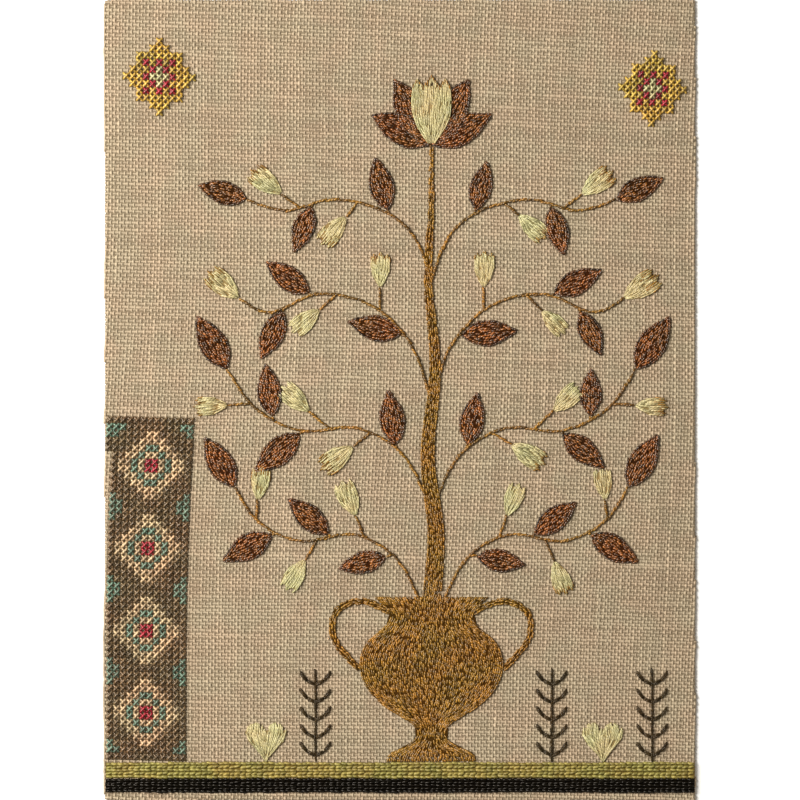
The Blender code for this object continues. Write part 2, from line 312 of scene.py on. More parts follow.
class SamplerCloth(PropertyGroup):
    """The linen: its threads and how evenly they lie."""

    warp_count: IntProperty(name="Warps", description="Upright threads across the cloth", default=184, min=20)
    weft_count: IntProperty(name="Wefts", description="Level threads along the cloth", default=233, min=20)
    warp_width: number("Warp width", "Width of an upright thread", 0.64 * MM)
    weft_width: number("Weft width", "Width of a level thread", 0.80 * MM)
    thread_height: number("Thread height", "Height of a linen thread", 0.40 * MM)
    warp_crimp: number("Warp crimp", "How far a warp rises and dips at a crossing", 0.22 * MM)
    weft_crimp: number("Weft crimp", "How far a weft rises and dips at a crossing", 0.08 * MM)
    warp_crowding: number("Warp crowding", "How much closer the warps lie at the right edge", 0.048, "NONE")
    weft_crowding: number("Weft crowding", "How much closer the wefts lie at the lower edge", 0.022, "NONE")
    warp_lean: number("Warp lean", "How far the warps lean to the right", math.radians(1.6), "ROTATION")
    weft_drop: number("Weft drop", "How far the wefts fall at the top right", math.radians(2.6), "ROTATION")
    wander: number("Wander", "How far a thread strays from its place", 0.07 * MM)


class SamplerStitches(PropertyGroup):
    """The stitches: how long and thick each kind is."""

    strand_width: number("Strand width", "Width of the embroidery thread", 0.52 * MM)
    strand_height: number("Strand height", "Height of the embroidery thread", 0.36 * MM)
    grain_length: number("Grain length", "Length of the urn's short stitches", 1.65 * MM)
    grain_pitch: number("Grain pitch", "Distance between rows of short stitches", 0.54 * MM)
    leaf_length: number("Leaf stitch", "Length of a leaf's stitches", 1.8 * MM)
    satin_length: number("Satin stitch", "Length of a satin stitch", 3.6 * MM)
    rope_length: number("Stem stitch", "Length of a stem's stitches", 2.5 * MM)


class SamplerColours(PropertyGroup):
    """The threads' colours."""

    linen: tint("Linen", "Colour of the linen threads", (0.385, 0.305, 0.207))
    # The sheet between the threads is darker than the linen: painted shade in the gaps
    linen_shade: tint("Linen shade", "Colour between the linen threads", (0.28, 0.21, 0.13))
    golden_brown: tint("Golden brown", "Thread of the urn, stems and bud tips", (0.220, 0.108, 0.013))
    russet: tint("Russet", "Thread of the leaves", (0.142, 0.048, 0.008))
    cream: tint("Cream", "Thread of the buds and hearts", (0.43, 0.38, 0.19))
    gold: tint("Gold", "Thread of the stars", (0.44, 0.285, 0.05))
    crimson: tint("Crimson", "Red thread", (0.25, 0.012, 0.025))
    teal: tint("Teal", "Green-blue thread of the border", (0.10, 0.155, 0.11))
    taupe: tint("Taupe", "Dark thread of the border", (0.12, 0.075, 0.035))
    oatmeal: tint("Oatmeal", "Pale thread of the border", (0.41, 0.29, 0.165))
    green: tint("Green", "Thread of the ground line", (0.240, 0.198, 0.052))
    dark: tint("Dark", "Thread of the lower band", (0.0035, 0.0025, 0.001))
    olive: tint("Olive", "Dark thread of the sprigs", (0.032, 0.020, 0.007))


class SamplerStudio(PropertyGroup):
    """Floor, lights and camera."""

    floor: tint("Floor", "Colour of the floor", (0.90, 0.90, 0.89))
    key_power: number("Key light", "Power of the soft key light", 14.6, "POWER")
    fill: number("Fill", "Strength of the light from all round", 0.37, "NONE")
    view_width: number("View width", "Width of the view on the cloth", 203.2 * MM)
    camera_height: number("Camera height", "Height of the camera above the cloth", 0.9)


def smooth_path(points, steps):
    """A smooth curve through the points, with this many steps between each two."""
    path = []
    for i in range(len(points) - 1):
        before = points[max(i - 1, 0)]
        after = points[min(i + 2, len(points) - 1)]
        for t in (k / steps for k in range(steps)):
            path.append(tuple(
                0.5 * (2 * b + (c - a) * t + (2 * a - 5 * b + 4 * c - d) * t**2 + (3 * b - a - 3 * c + d) * t**3)
                for a, b, c, d in zip(before, points[i], points[i + 1], after)
            ))
    path.append(points[-1])
    return path


def from_plant(points):
    """Points in millimetres from the plant's axis, as metres in the cloth's frame."""
    return [(PLANT_X + x * MM, y * MM) for x, y in points]


def upright(x, height):
    """The ends of an upright line that stands on the ground line."""
    return [(x, GROUND_Y), (x, GROUND_Y + height)]


class Line:
    """A line on the cloth, measured along its length."""

    def __init__(self, points):
        self.points = np.array(points, float)
        runs = np.hypot(*np.diff(self.points, axis=0).T)
        self.reach = np.concatenate(([0.0], np.cumsum(runs)))
        self.length = self.reach[-1]

    def at(self, distance):
        return np.array([np.interp(distance, self.reach, self.points[:, axis]) for axis in (0, 1)])

    def heading(self, distance):
        """The line's direction there, as a unit vector."""
        nudge = 0.01 * self.length
        run = self.at(min(distance + nudge, self.length)) - self.at(max(distance - nudge, 0.0))
        return run / np.hypot(*run)

    def beside(self, distance, offset):
        """A point this far to the left of the line."""
        x, y = self.heading(distance)
        return self.at(distance) + offset * np.array((-y, x))


def bowed(bow, along, across):
    """How far a thread bows aside at a distance along it, and at its share across the cloth."""
    return bow.depth * np.sin(2 * math.pi * along / bow.length + bow.shift * across)


class Weave:
    """Where the linen's threads cross: u counts the warps from the left, and v the wefts from the lower edge."""

    def __init__(self, cloth):
        self.cloth = cloth

    def place(self, u, v):
        """The point on the cloth of a place in the weave."""
        cloth = self.cloth
        s, t = u / cloth.warp_count, v / cloth.weft_count
        x = CLOTH_WIDTH * (s * (1 + cloth.warp_crowding) - cloth.warp_crowding * s * s - 0.5)
        y = CLOTH_LENGTH * (t * (1 - cloth.weft_crowding) + cloth.weft_crowding * t * t - 0.5)
        fall = math.tan(cloth.weft_drop) * (DROP_AT_FOOT + (1 - DROP_AT_FOOT) * t)
        sway, sag = bowed(WARP_BOW, y, s), bowed(WEFT_BOW, x, t)
        return x + math.tan(cloth.warp_lean) * y + sway, y - fall * x + sag

    def find(self, x, y):
        """The place in the weave that lies nearest to a point on the cloth."""
        cloth = self.cloth
        u, v = 0.5 * cloth.warp_count, 0.5 * cloth.weft_count
        for _ in range(12):
            there = self.place(u, v)
            u += (x - there[0]) / CLOTH_WIDTH * cloth.warp_count
            v += (y - there[1]) / CLOTH_LENGTH * cloth.weft_count
        return round(u), round(v)


def added(name, data):
    """A new object in the scene."""
    made = bpy.data.objects.new(name, data)
    bpy.context.scene.collection.objects.link(made)
    return made


def mesh_of(name, shape):
    """A new mesh of a bmesh, which it frees."""
    mesh = bpy.data.meshes.new(name)
    shape.to_mesh(mesh)
    shape.free()
    return mesh


def flat_profile(name, width, height):
    """The cross-section of a thread: a flat diamond, which smooth shading rounds."""
    curve = bpy.data.curves.new(name, "CURVE")
    spline = curve.splines.new("POLY")
    spline.points.add(3)
    corners = ((0.5 * width, 0.0), (0.0, -0.5 * height), (-0.5 * width, 0.0), (0.0, 0.5 * height))
    for point, (x, y) in zip(spline.points, corners):
        point.co = (x, y, 0.0, 1.0)
    spline.use_cyclic_u = True
    return added(name, curve)


def planar_map(mesh):
    """A map for baking that looks down on the cloth, a little askew so that upright faces have some width on it."""
    places = np.empty(3 * len(mesh.vertices))
    mesh.vertices.foreach_get("co", places)
    places = places.reshape(-1, 3)
    flat = places[:, :2] + MAP_SKEW * places[:, 2:]
    low = flat.min(0)
    flat = (flat - low) / (flat - low).max()
    corners = np.empty(len(mesh.loops), int)
    mesh.loops.foreach_get("vertex_index", corners)
    mesh.uv_layers.new(name="OFBake").data.foreach_set("uv", flat[corners].ravel())


def threads(name, paths, radii, tones, width, height, smooth=True):
    """Closed tubes of thread along the paths, each with its own tone, as one mesh object."""
    section = flat_profile(name + "_section", width, height)
    curve = bpy.data.curves.new(name, "CURVE")
    curve.dimensions = "3D"
    curve.twist_mode = "Z_UP"
    curve.bevel_mode = "OBJECT"
    curve.bevel_object = section
    for path, radius in zip(paths, radii):
        spline = curve.splines.new("POLY")
        spline.points.add(len(path) - 1)
        spline.points.foreach_set("co", np.column_stack((path, np.ones(len(path)))).ravel())
        spline.points.foreach_set("radius", radius)
    guide = added(name + "_guide", curve)
    mesh = bpy.data.meshes.new_from_object(guide.evaluated_get(bpy.context.evaluated_depsgraph_get()))
    mesh.name = name
    bpy.data.objects.remove(guide)
    bpy.data.objects.remove(section)

    shape = bmesh.new()
    shape.from_mesh(mesh)
    bmesh.ops.holes_fill(shape, edges=[e for e in shape.edges if e.is_boundary], sides=4)
    bmesh.ops.recalc_face_normals(shape, faces=shape.faces)
    shape.to_mesh(mesh)
    shape.free()
    if smooth:
        mesh.shade_smooth()
    else:
        mesh.shade_flat()

    runs = [np.linalg.norm(np.diff(path, axis=0), axis=1) for path in paths]
    along = [np.concatenate(([0.0], np.cumsum(run))) for run in runs]
    for key, values in (
        ("tone", np.repeat(tones, [4 * len(path) for path in paths])),
        ("along", np.repeat(np.concatenate(along), 4)),
        ("across", np.tile((1.0, 0.0, -1.0, 0.0), sum(map(len, paths)))),
    ):
        mesh.attributes.new(key, "FLOAT", "POINT").data.foreach_set("value", values.astype(np.float32))
    planar_map(mesh)
    return added(name, mesh)


def thread_material(name, colour, drift, spread, ply, roughness, ior, crest=None):
    """A thread's finish: tones that differ from strand to strand, drifts of dye, and twisted plies, with painted
    shade in the grooves between the plies and painted highlight on their crowns.

    Crest is the height at which a thread begins to lighten, and the height at which it is lightest: painted highlight
    on the crests, with painted shade in the recesses below them.
    """
    material = bpy.data.materials.new(name)
    material.use_nodes = True
    nodes, links = material.node_tree.nodes, material.node_tree.links
    shader = nodes["Principled BSDF"]
    shader.inputs["Roughness"].default_value = roughness
    shader.inputs["IOR"].default_value = ior
    shader.inputs["Specular Tint"].default_value = (1.0, 0.92, 0.82, 1.0)
    place = nodes.new("ShaderNodeTexCoord").outputs["Object"]

    def node(kind, inputs, **options):
        """A node with its options set, and its inputs given by their names or numbers."""
        made = nodes.new("ShaderNode" + kind)
        for key, value in options.items():
            setattr(made, key, value)
        for key, value in inputs.items():
            if isinstance(value, NodeSocket):
                links.new(value, made.inputs[key])
            else:
                made.inputs[key].default_value = value
        return made.outputs

    def calculate(operation, *values):
        return node("Math", dict(enumerate(values)), operation=operation)[0]

    def ranged(value, low, high, least, most):
        return node("MapRange", {0: value, 1: low, 2: high, 3: least, 4: most})["Result"]

    def noise(scale, low, high, least, most):
        made = node("TexNoise", {"Scale": scale, "Detail": 2.0, "Vector": place})
        return ranged(made["Fac"], low, high, least, most)

    def attribute(key):
        return node("Attribute", {}, attribute_name=key)["Fac"]

    def mixed(blend, factor, first, second):
        return node("Mix", {0: factor, 6: first, 7: second}, data_type="RGBA", blend_type=blend)[2]

    warm, cool = ((*stained(colour, *(1 + part * drift for part in dye)), 1.0) for dye in (WARM, COOL))
    dyed = mixed("MIX", noise(DYE_SCALE, 0.38, 0.62, 0.0, 1.0), warm, cool)
    turn = calculate("MULTIPLY", attribute("tone"), PLY_STARTS)
    turn = calculate("MULTIPLY_ADD", attribute("across"), PLY_LEAN, turn)
    turn = calculate("MULTIPLY_ADD", attribute("along"), 2 * math.pi / PLY_PITCH, turn)
    ply_relief_and_shade = calculate("ABSOLUTE", calculate("SINE", calculate("MULTIPLY", turn, 0.5)))
    shade = calculate("MULTIPLY_ADD", attribute("tone"), 2 * spread, 1 - spread)
    # Painted shade and highlight: the colour is darker in the grooves between the plies and lighter on their crowns;
    # the same wave bumps the normal
    shade = calculate("MULTIPLY", shade, calculate("MULTIPLY_ADD", ply_relief_and_shade, 1.5 * ply, 1 - ply))
    shade = calculate("MULTIPLY", shade, noise(FIBRE_SCALE, 0.3, 0.7, 1 - 0.4 * spread, 1 + 0.4 * spread))
    # Painted light: the thread is darkened below its crest as painted shade in the recesses, and lightened on the
    # crest as painted highlight
    if crest:
        height = node("SeparateXYZ", {"Vector": place})["Z"]
        shade = calculate("MULTIPLY", shade, ranged(height, *crest, *PAINTED_CREST_TONES))
    grey = node("CombineColor", {0: shade, 1: shade, 2: shade})["Color"]
    links.new(mixed("MULTIPLY", 1.0, dyed, grey), shader.inputs["Base Color"])
    twist = node("Bump", {"Strength": 1.0, "Distance": PLY_DEPTH * ply, "Height": ply_relief_and_shade})
    links.new(twist["Normal"], shader.inputs["Normal"])
    return material


def stained(colour, *weights):
    """A colour with its channels weighted."""
    return tuple(min(part * weight, 1.0) for part, weight in zip(colour, weights))


def linen_finish(name, colour, cloth):
    # The linen gets painted light by height: painted highlight on its crests and painted shade in its recesses
    top = cloth_face(cloth)
    return thread_material(name, colour, **LINEN, crest=(top - PAINTED_CREST_DEPTH, top))


def finish_piece(piece, material):
    """Gives a piece its finish and its place among the moving bodies, of which the cloth has one."""
    piece.data.materials.clear()
    piece.data.materials.append(material)
    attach(piece, "root")
    piece["sampler_part"] = True


def cloth_middle(settings):
    """The height of the plane about which the linen's threads wave."""
    return settings.warp_crimp + 0.5 * settings.thread_height


def cloth_face(settings):
    """The height of the linen's crests."""
    return 2 * cloth_middle(settings)


def even_noise(rng, shape, blur):
    """Random values from about -1 to 1 that change smoothly along the second axis."""
    values = rng.normal(size=shape)
    for _ in range(blur):
        values = (np.roll(values, 1, 1) + values + np.roll(values, -1, 1)) / 3
    return values / values.std()


def cut_to_cloth(path, radius):
    """The stretch of a thread that lies within the cloth's cut edges, with its ends exactly on them."""
    half = np.array(HALF_CUT)
    inside = np.flatnonzero((np.abs(path[:, :2]) <= half).all(1))
    if len(inside) < 2:
        return None, None
    first, last = inside[0], inside[-1]
    points, sizes = [path[first : last + 1]], [radius[first : last + 1]]
    for outer, inner in ((first - 1, first), (last + 1, last)):
        beyond = np.abs(path[outer, :2]) - np.abs(path[inner, :2])
        room = half - np.abs(path[inner, :2])
        over = np.abs(path[outer, :2]) > half
        share = min(room[over] / beyond[over])
        if share < LEAST_END:
            continue
        end = path[inner] + share * (path[outer] - path[inner])
        where = 0 if outer < inner else len(points)
        points.insert(where, end[None])
        sizes.insert(where, radius[inner : inner + 1])
    return np.concatenate(points), np.concatenate(sizes)


def woven_threads(cloth, seed):
    """Every warp and every weft of the linen, each as its path and its radii along it."""
    rng = np.random.default_rng(seed)
    beyond = 9
    u = np.arange(-beyond, cloth.warp_count + beyond) + 0.5
    v = np.arange(-beyond, cloth.weft_count + beyond) + 0.5
    grid_u, grid_v = np.meshgrid(u, v, indexing="ij")
    x, y = Weave(cloth).place(grid_u, grid_v)
    shape = x.shape
    stray = PLACE_STRAY * cloth.wander
    x += cloth.wander * even_noise(rng, shape, WANDER_BLUR) + stray * rng.normal(size=shape)
    y += cloth.wander * even_noise(rng, shape[::-1], WANDER_BLUR).T + stray * rng.normal(size=shape)
    over = np.where(np.add.outer(np.arange(shape[0]), np.arange(shape[1])) % 2, 1.0, -1.0)
    middle = cloth_middle(cloth)

    def run(x, y, z, sizes):
        threads = []
        for i in range(len(x)):
            path, radius = cut_to_cloth(np.column_stack((x[i], y[i], z[i])), sizes[i])
            if path is not None:
                threads.append((path, radius))
        return threads

    def slubs(shape):
        each = 1 + THREAD_SWELL * rng.normal(size=(shape[0], 1))
        return each * (1 + SLUB_SWELL * even_noise(rng, shape, SLUB_BLUR))

    warps = run(x, y, middle + cloth.warp_crimp * over, slubs(shape))
    wefts = run(x.T, y.T, middle - cloth.weft_crimp * over.T, slubs(shape[::-1]))
    return warps, wefts


def weave_pieces(settings, names, strands, width, brightness, seed):
    """The threads of one direction, in two halves."""
    rng = np.random.default_rng(seed)
    material = bpy.data.materials.get("linen_thread")
    if not material:
        material = linen_finish("linen_thread", settings.colours.linen, settings.cloth)
    half = len(strands) // 2
    for name, part in zip(names, (strands[:half], strands[half:])):
        tones = np.clip(rng.normal(brightness, TONE_SPREAD, len(part)), 0, 1)
        paths, radii = [path for path, _ in part], [radius for _, radius in part]
        piece = threads(name, paths, radii, tones, width, settings.cloth.thread_height)
        finish_piece(piece, material)


def shade_pads(settings, name, thread, shapes, bulge=PAD_BULGE, depth=0.2):
    """A thin pad under each filled shape, which is a middle line, the half widths along it and a rise; its colour is
    the thread's darkened by depth, as painted shade between the stitches.
    """
    z = cloth_face(settings.cloth) + PAD_LIFT
    paths = [np.column_stack((line, np.full(len(line), z + rise))) for line, _, rise in shapes]
    radii = [np.maximum(halves, PAD_LEAST) / (0.5 * MM) for _, halves, _ in shapes]
    pad = threads(name, paths, radii, np.full(len(paths), 0.5), 1.0 * MM, bulge, smooth=False)
    # Painted shade: the thread's colour darkened by depth, for the gaps between the stitches
    shade = stained(getattr(settings.colours, thread), depth, 0.85 * depth, 0.7 * depth)
    finish_piece(pad, thread_material(name, shade, **SHADE_PAD_FINISH))


class Needle:
    """Works stitches in one thread on the face of the cloth."""

    def __init__(self, settings, seed, scale=1.0):
        self.colours = settings.colours
        self.width = settings.stitches.strand_width * scale
        self.height = settings.stitches.strand_height * scale
        self.under = cloth_middle(settings.cloth)
        self.face = cloth_face(settings.cloth) + PRESS * self.height
        self.hand = np.random.default_rng(seed)
        self.shades, self.rise = (0.0, 1.0), 0.0
        self.paths, self.radii, self.tones = [], [], []

    def stitch(self, start, end, lift=0.0):
        """An arch of thread that comes up at start and goes down at end."""
        start, end = np.array(start, float), np.array(end, float)
        run = end - start
        length = np.hypot(*run)
        shoulder = min(SHOULDER_SHARE, SHOULDER / length)
        crest = self.face + self.rise + lift + HEIGHT_STRAY * self.hand.normal()
        heights = (self.under, crest, crest, self.under)
        shares = (0.0, shoulder, 1 - shoulder, 1.0)
        self.paths.append(np.array([(*(start + run * share), height) for share, height in zip(shares, heights)]))
        self.radii.append((1 + WIDTH_STRAY * self.hand.normal()) * np.array((FOOT_WIDTH, 1.0, 1.0, FOOT_WIDTH)))
        self.tones.append(self.hand.uniform(*self.shades))

    def cross(self, weave, u, v):
        """A cross over two threads each way, whose upper leg always lies the same way."""
        corners = {(a, b): np.array(weave.place(u + a, v + b)) for a in (0, 2) for b in (0, 2)}
        self.stitch(corners[2, 0], corners[0, 2])
        self.stitch(corners[0, 0], corners[2, 2], lift=CROSS_LIFT * self.height)

    def rope(self, points, length, slant=0.16 * MM, share=ROPE_SHARE):
        """Stem stitch along a line: each stitch starts on one side of it, part way along the one before."""
        line = Line(points)
        count = max(round((line.length - length) / (share * length)) + 1, 1)
        step = (line.length - length) / max(count - 1, 1)
        for k in range(count):
            start = step * k + ROPE_STRAY * length * self.hand.uniform(-1, 1)
            start = min(max(start, 0.0), line.length - ROPE_LEAST * min(length, line.length))
            end = min(start + length, line.length)
            aside = ROPE_ASIDE * self.hand.normal()
            self.stitch(line.beside(start, aside - slant), line.beside(end, aside + slant), ROPE_LIFT * (k % 2))

    def fill(self, points, half_at, pitch, length, edge=0.18 * MM, tip_at=None):
        """Short stitches side by side that follow a shape: points is its middle line, half_at its half width, and
        tip_at the share of its length at which it ends, from -1 on one side to 1 on the other."""
        line = Line(points)
        step = FILL_STEP * length
        slices = max(round(line.length / step), 1)
        for k in range(slices):
            middle = (k + 0.5) / slices * line.length
            count = max(round(2 * max(half_at(middle) - edge, 0.0) / pitch), 1)
            for i in range(count):
                across = 2 * (i + 0.5) / count - 1
                if abs(across) < FILL_EVEN:
                    across += FILL_ASIDE / count * self.hand.uniform(-1, 1)
                last = line.length * (tip_at(across) if tip_at else 1.0)
                start = middle - 0.5 * length + FILL_STRAY * step * self.hand.uniform(-1, 1)
                end = start + length * self.hand.uniform(*FILL_LENGTHS)
                start, end = max(start, 0.0), min(end, last)
                if end - start < FILL_LEAST * length:
                    continue
                lean = FILL_LEAN * pitch * self.hand.uniform(-1, 1) if abs(across) < FILL_STRAIGHT else 0.0
                self.stitch(
                    line.beside(start, across * max(half_at(start) - edge, 0.0) - lean),
                    line.beside(end, across * max(half_at(end) - edge, 0.0) + lean),
                    lift=FILL_LIFT * self.hand.uniform(),
                )

    def piece(self, name, thread, colour=None, **look):
        """Makes everything worked so far one piece, in the thread's own colour unless another is given."""
        if colour is None:
            colour = getattr(self.colours, thread)
        material = thread_material(name, colour, **FLOSS | look)
        piece = threads(name, self.paths, self.radii, self.tones, self.width, self.height)
        finish_piece(piece, material)


def leaf_half(length):
    """The half width of a leaf at a distance from its foot."""

    def half(distance):
        share = min(max(distance / length, 0.0), 1.0)
        return 0.5 * LEAF_WIDTH * length * math.sin(math.pi * share**0.85) ** 0.9

    return half


def shape_half(outline, length, half_width):
    """The half width, at a distance from its foot, of a shape whose outline gives it in shares."""
    return lambda distance: half_width * float(np.interp(distance / length, *zip(*outline)))


def shape_tip(tips):
    """The share of its length at which a shape ends, from -1 on one side to 1 on the other."""
    return lambda across: float(np.interp(abs(across), *zip(*tips)))


def pad_shape(points, half_at, inset=PAD_INSET, last=0.93, rise=0.0, stations=12):
    """The middle line and half widths of the pad under a shape, drawn in from its edge by inset."""
    line = Line(points)
    distances = np.linspace(PAD_START * line.length, last * line.length, stations)
    return [line.at(d) for d in distances], np.array([half_at(d) - inset for d in distances]), rise


def placed(local, spot, turn):
    """Local points, turned and moved to a spot."""
    c, s = math.cos(turn), math.sin(turn)
    return [(spot[0] + x * c - y * s, spot[1] + x * s + y * c) for x, y in local]


Growth = namedtuple("Growth", "kind spot turn length rise")


def plant_parts():
    """The plant's branches and twigs as lines, and its leaves and buds as growths, drawn from the same hand as the
    solids."""
    hand = random.Random(HAND_SEED)
    tip = from_plant(MAIN_STEM[-1:])[0]
    growths = [
        Growth(p.kind, tip, math.radians(90 - p.lean), p.length * MM, CROWN_BUD_RISE if p.kind == "bud" else 0.0)
        for p in CROWN
    ]
    branches, twigs = [], []
    for side in (1, -1):
        for name, points in BRANCHES.items():
            path = from_plant([(side * x, y) for x, y in smooth_path(points, 3)])
            branches.append(path)
            line = Line(path)
            for spray in SPRAYS[name]:
                distance = spray.at * line.length
                spot, run = tuple(line.at(distance)), line.heading(distance)
                turn = math.atan2(run[1], run[0])
                turn += side * spray.side * math.radians(spray.spread)
                turn += math.radians(hand.uniform(-HAND_TURN, HAND_TURN))
                length = spray.length * MM * (1 + hand.uniform(-HAND_GROWTH, HAND_GROWTH))
                if spray.twig:
                    end = placed([(spray.twig * MM, 0.0)], spot, turn)[0]
                    twigs.append([spot, end])
                    spot = end
                growths.append(Growth(spray.kind, spot, turn, length, 0.0))
    return branches, twigs, growths


def growths_of(kind):
    """Each leaf or each bud, with its middle line."""
    for growth in plant_parts()[2]:
        if growth.kind == kind:
            yield growth, placed([(0.0, 0.0), (growth.length, 0.0)], growth.spot, growth.turn)


class Settings:
    """The scene's settings: its groups of cloth, stitches, colours and studio."""

    def __init__(self, scene):
        for name in GROUPS:
            setattr(self, name, getattr(scene, "sampler_" + name))


class SamplerStep:
    """What the steps share."""

    bl_options = {"REGISTER", "UNDO"}

    def execute(self, context):
        self.work(Settings(context.scene))
        return {"FINISHED"}


class SAMPLER_OT_linen(SamplerStep, Operator):
    """Weave the linen, thread by thread"""

    bl_idname = "sampler.linen"
    bl_label = "Linen"

    def work(self, settings):
        cloth = settings.cloth
        warps, wefts = woven_threads(cloth, seed=11)
        weave_pieces(settings, ("warp_left", "warp_right"), warps, cloth.warp_width, WARP_TONE, seed=12)
        weave_pieces(settings, ("weft_lower", "weft_upper"), wefts, cloth.weft_width, WEFT_TONE, seed=13)


class SAMPLER_OT_linen_body(SamplerStep, Operator):
    """Lay a thin sheet under the threads, in a darker colour that is painted shade in the gaps between them"""

    bl_idname = "sampler.linen_body"
    bl_label = "Body of the cloth"

    def work(self, settings):
        middle = cloth_middle(settings.cloth)
        shape = bmesh.new()
        bmesh.ops.create_grid(shape, x_segments=SHADE_SHEET_CELLS[0], y_segments=SHADE_SHEET_CELLS[1], size=0.5)
        size = (CLOTH_WIDTH - 2 * SHADE_SHEET_INSET, CLOTH_LENGTH - 2 * SHADE_SHEET_INSET, 1.0)
        bmesh.ops.scale(shape, vec=size, verts=shape.verts)
        bmesh.ops.solidify(shape, geom=list(shape.faces), thickness=SHADE_SHEET_THICKNESS)
        low = min(vertex.co.z for vertex in shape.verts)
        bmesh.ops.translate(shape, vec=(0.0, 0.0, middle - 0.5 * SHADE_SHEET_THICKNESS - low), verts=shape.verts)
        bmesh.ops.recalc_face_normals(shape, faces=shape.faces)
        mesh = mesh_of("linen_body", shape)
        planar_map(mesh)
        body = added("linen_body", mesh)
        # The sheet's darker colour is painted shade where the gaps between the threads are
        finish_piece(body, linen_finish("linen_shade", settings.colours.linen_shade, settings.cloth))
        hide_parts(CAD_NODE)


class SAMPLER_OT_ground_line(SamplerStep, Operator):
    """Work the green and the dark band of the ground line in rows of stem stitch"""

    bl_idname = "sampler.ground_line"
    bl_label = "Ground line"

    def work(self, settings):
        reach = HALF_CUT[0] - 0.2 * MM
        stations = np.linspace(-reach, reach, BAND_STATIONS)
        for band in BANDS:
            needle = Needle(settings, seed=band.rows, scale=band.scale)
            for row in range(band.rows):
                y = band.top - (row + 0.5) / band.rows * band.height
                wave = [(x, y + BAND_WAVE * math.sin(x / BAND_WAVE_LENGTH + row)) for x in stations]
                needle.rope(wave, BAND_STITCH, BAND_SLANT if row % 2 else -BAND_SLANT, share=DENSE_SHARE)
            name = "ground_line_" + band.colour
            needle.piece(name, band.colour, spread=0.25, ply=0.2, ior=band.ior)
            middle = np.array([(x, band.top - 0.5 * band.height) for x in stations])
            pad = (middle, np.full(BAND_STATIONS, 0.5 * band.height - 0.1 * MM), 0.0)
            # A pad under the band, darkened as painted shade between its rows
            shade_pads(settings, name + "_pad", band.colour, [pad], depth=0.5)


def cross_needles(settings, names, first_seed):
    """A needle for each colour of a motif in cross stitch."""
    return {name: Needle(settings, seed, scale=1.2) for seed, name in enumerate(names, first_seed)}


def finish_crosses(needles, motif):
    for name, needle in needles.items():
        needle.piece(motif + name, name)


def lozenge_colour(column, row):
    """The border's thread at a cross: taupe ground, with a lozenge of oatmeal, teal and crimson."""
    across = abs(column - 0.5 * (BORDER_COLUMNS - 1))
    along = abs((row - 1) % LOZENGE_ROWS - 0.5 * (LOZENGE_ROWS - 1))
    if not 0 < row < BORDER_ROWS - 1:
        return "taupe"
    for reach, name in ((1, "crimson"), (2, "oatmeal"), (3, "teal"), (5, "oatmeal"), (9, "taupe")):
        if across + along <= reach:
            return name
    return "teal"


class SAMPLER_OT_border(SamplerStep, Operator):
    """Work the lozenge border in cross stitch"""

    bl_idname = "sampler.border"
    bl_label = "Lozenge border"

    def work(self, settings):
        weave = Weave(settings.cloth)
        right, foot = weave.find(BORDER_RIGHT_X, GROUND_Y)
        needles = cross_needles(settings, ("taupe", "oatmeal", "teal", "crimson"), first_seed=20)
        for row in range(BORDER_ROWS):
            for column in range(-4, BORDER_COLUMNS):
                u, v = right - 2 * (BORDER_COLUMNS - column), foot + 2 * row
                if weave.place(u, v)[0] > -HALF_CUT[0] and weave.place(u, v + 2)[0] > -HALF_CUT[0]:
                    mirrored = column if column >= 0 else -1 - column
                    needles[lozenge_colour(mirrored, row)].cross(weave, u, v)
        finish_crosses(needles, "border_")


def star_colour(column, row):
    """The star's thread at a cross, or None outside it."""
    across, along = abs(column), abs(row)
    if across + along > STAR_REACH and max(across, along) > STAR_SQUARE:
        return None
    if across + along <= 1:
        return "cream"
    if across + along == 2 or (across == along and across < STAR_SQUARE):
        return "crimson"
    return "gold"


class SAMPLER_OT_stars(SamplerStep, Operator):
    """Work the eight-pointed stars in cross stitch"""

    bl_idname = "sampler.stars"
    bl_label = "Stars"

    def work(self, settings):
        weave = Weave(settings.cloth)
        needles = cross_needles(settings, ("gold", "crimson", "cream"), first_seed=30)
        for centre in STAR_CENTRES:
            middle_u, middle_v = weave.find(*centre)
            for row in range(-STAR_REACH, STAR_REACH + 1):
                for column in range(-STAR_REACH, STAR_REACH + 1):
                    thread = star_colour(column, row)
                    if thread:
                        needles[thread].cross(weave, middle_u + 2 * column - 1, middle_v + 2 * row - 1)
        finish_crosses(needles, "stars_")


class SAMPLER_OT_urn(SamplerStep, Operator):
    """Fill the urn and its handles with short golden-brown stitches"""

    bl_idname = "sampler.urn"
    bl_label = "Urn"

    def work(self, settings):
        stitches = settings.stitches
        needle = Needle(settings, seed=41, scale=0.92)
        heights, halves = MM * np.array(smooth_path(URN_PROFILE, 4)).T
        filled = [(upright(PLANT_X, heights[-1]), lambda s: float(np.interp(s, heights, halves)))]
        for side in (1, -1):
            path = [(PLANT_X + side * x * MM, GROUND_Y + y * MM) for x, y in smooth_path(HANDLE, 4)]
            filled.append((path, lambda s: 0.5 * HANDLE_WIDTH))
        for path, half_at in filled:
            needle.fill(path, half_at, stitches.grain_pitch, stitches.grain_length)
        needle.piece("urn", "golden_brown", spread=0.5, ply=0.5)
        pads = [pad_shape(path, half_at, last=0.99) for path, half_at in filled]
        shade_pads(settings, "urn_pad", "golden_brown", pads, bulge=URN_PAD_BULGE)


